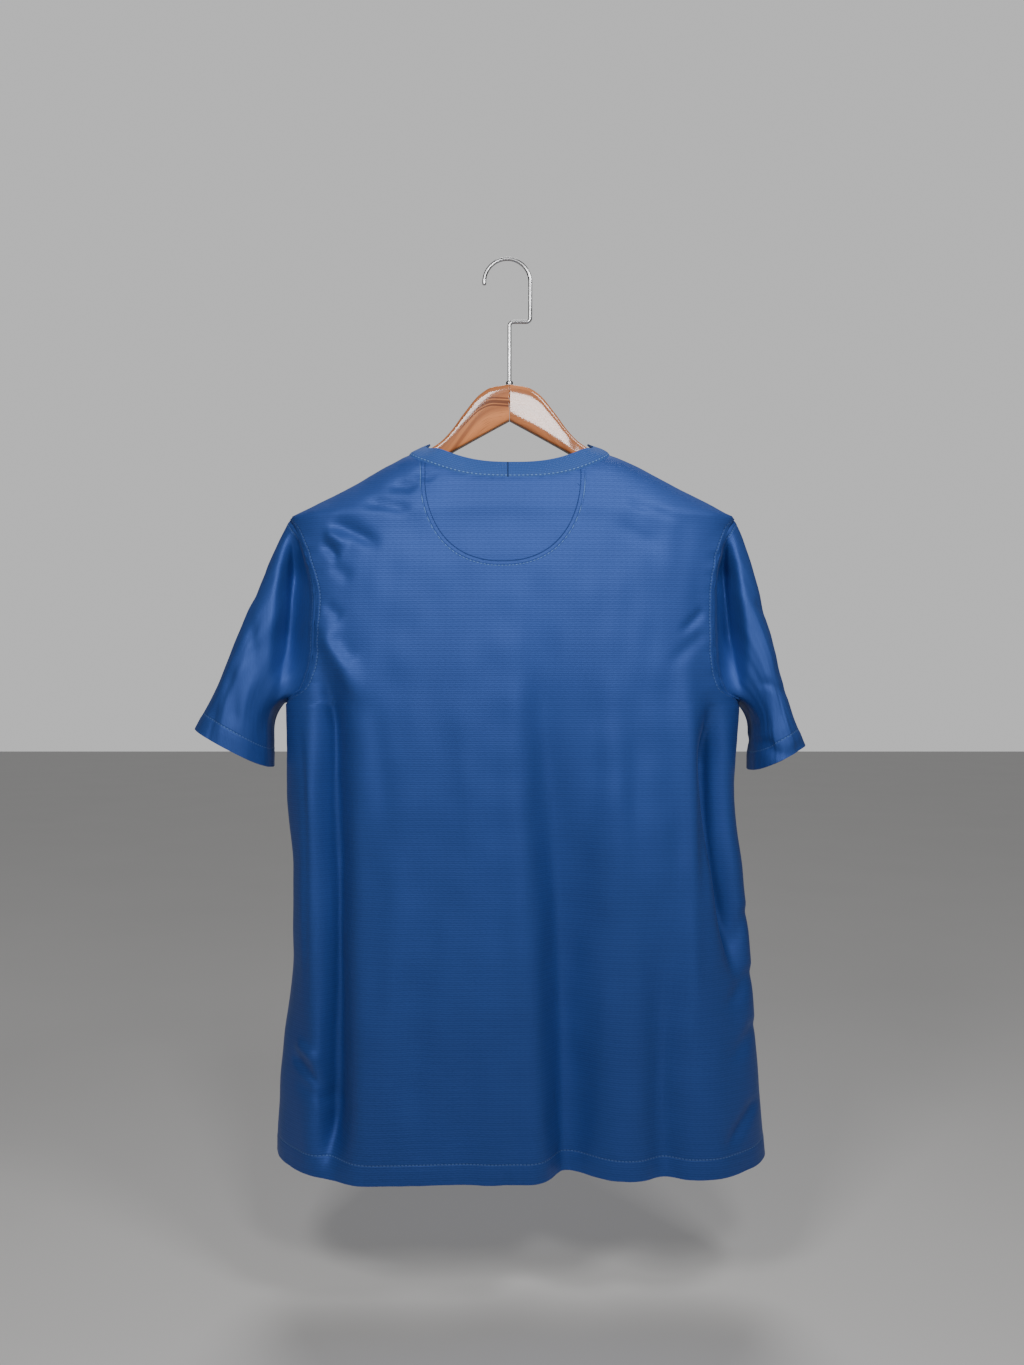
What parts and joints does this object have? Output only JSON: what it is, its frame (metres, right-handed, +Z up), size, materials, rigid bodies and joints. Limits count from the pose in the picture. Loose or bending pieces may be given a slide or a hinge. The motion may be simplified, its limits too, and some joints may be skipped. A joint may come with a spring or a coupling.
{
  "type": "football jersey on a wooden hanger",
  "caption": "Short-sleeved crew-neck football jersey with a half-moon back neck yoke, hanging on a contoured wooden hanger with a wire hook.",
  "frame": {"origin": "underside of the crown of the hanger's hook, where a rail or peg carries it", "axes": "+Z up, -Y towards the back of the garment, +X the wearer's right"},
  "size_m": [0.604, 0.135, 0.901],
  "materials": {
    "knit": "fine horizontal rib polyester knit, mid blue, soft sheen",
    "collar_rib": "smooth rib knit, mid blue",
    "hanger_wood": "lacquered orange-brown wood with darker grain",
    "hook_steel": "bright plated wire"
  },
  "bodies": {
    "root": {"back_panel": "knit", "neck_yoke": "knit", "front_panel": "knit", "sleeve_left": "knit", "sleeve_right": "knit", "collar_band": "collar_rib", "hanger_arm_left": "hanger_wood", "hanger_arm_right": "hanger_wood", "hanger_hook": "hook_steel", "hook_ferrule": "hook_steel"}
  },
  "joints": []
}
